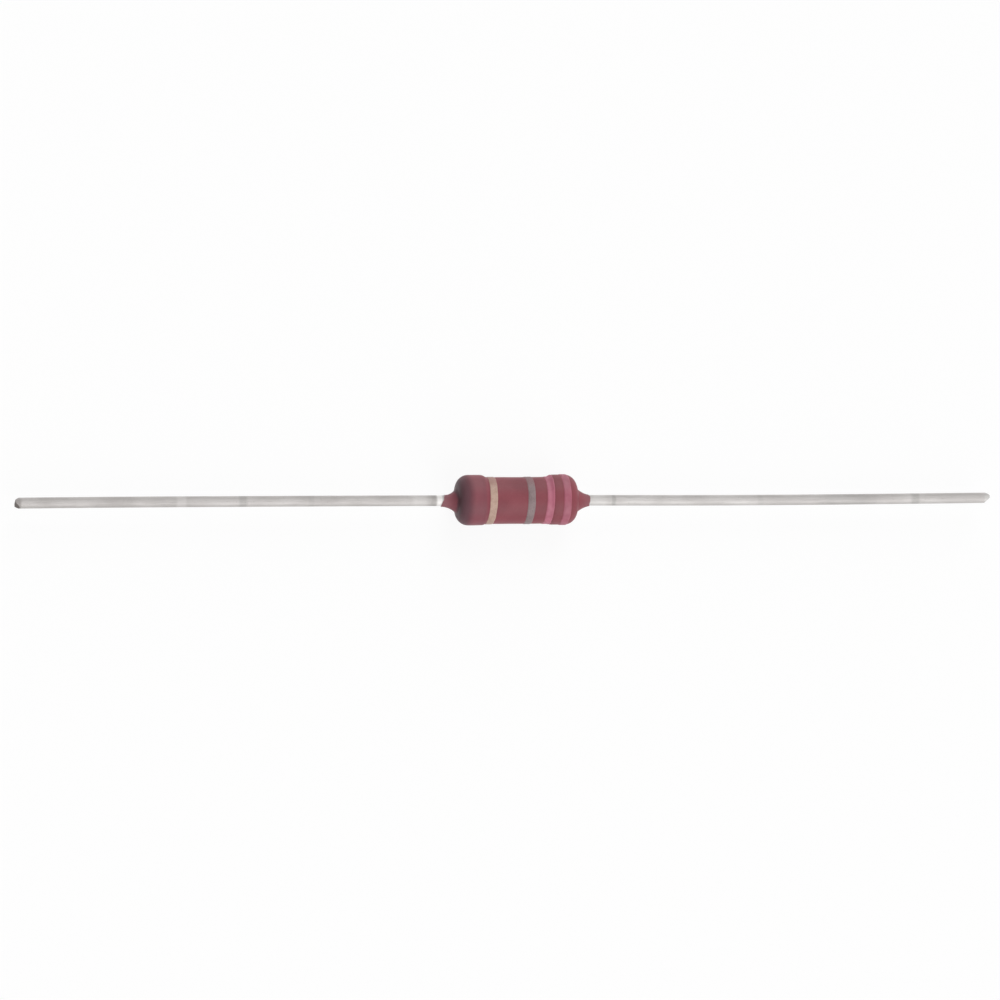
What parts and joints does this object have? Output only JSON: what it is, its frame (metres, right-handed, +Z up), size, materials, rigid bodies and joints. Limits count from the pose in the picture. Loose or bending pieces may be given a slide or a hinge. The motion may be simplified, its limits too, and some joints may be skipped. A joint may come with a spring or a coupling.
{
  "type": "axial resistor",
  "caption": "Lacquered axial film resistor: a dog-bone maroon body with painted colour bands, and long straight tinned wire leads that run out of both ends on one line.",
  "frame": {"origin": "middle of the body, on the axis of the wires, which is also the middle of the whole part", "axes": "+X along the wires, towards the end whose cap carries a rose band; +Z up when the part lies flat"},
  "size_m": [0.0748, 0.0038, 0.0038],
  "materials": {
    "ceramic": "fired alumina, matt",
    "resistive_film": "sputtered metal film, dull grey",
    "cap_tin": "tinned drawn steel",
    "wire_tin": "tinned copper wire, satin, with faint draw lines",
    "lacquer": "dipped lacquer, satin, slightly uneven",
    "gold_paint": "gold bronze paint",
    "silver_paint": "silver grey paint",
    "rose_paint": "rose red paint"
  },
  "bodies": {
    "root": {"ceramic_rod": "ceramic", "resistive_film": "resistive_film", "left_end_cap": "cap_tin", "right_end_cap": "cap_tin", "left_lead": "wire_tin", "right_lead": "wire_tin", "lacquer_coat": "lacquer", "gold_band": "gold_paint", "silver_band": "silver_paint", "inner_rose_band": "rose_paint", "outer_rose_band": "rose_paint"}
  },
  "joints": []
}
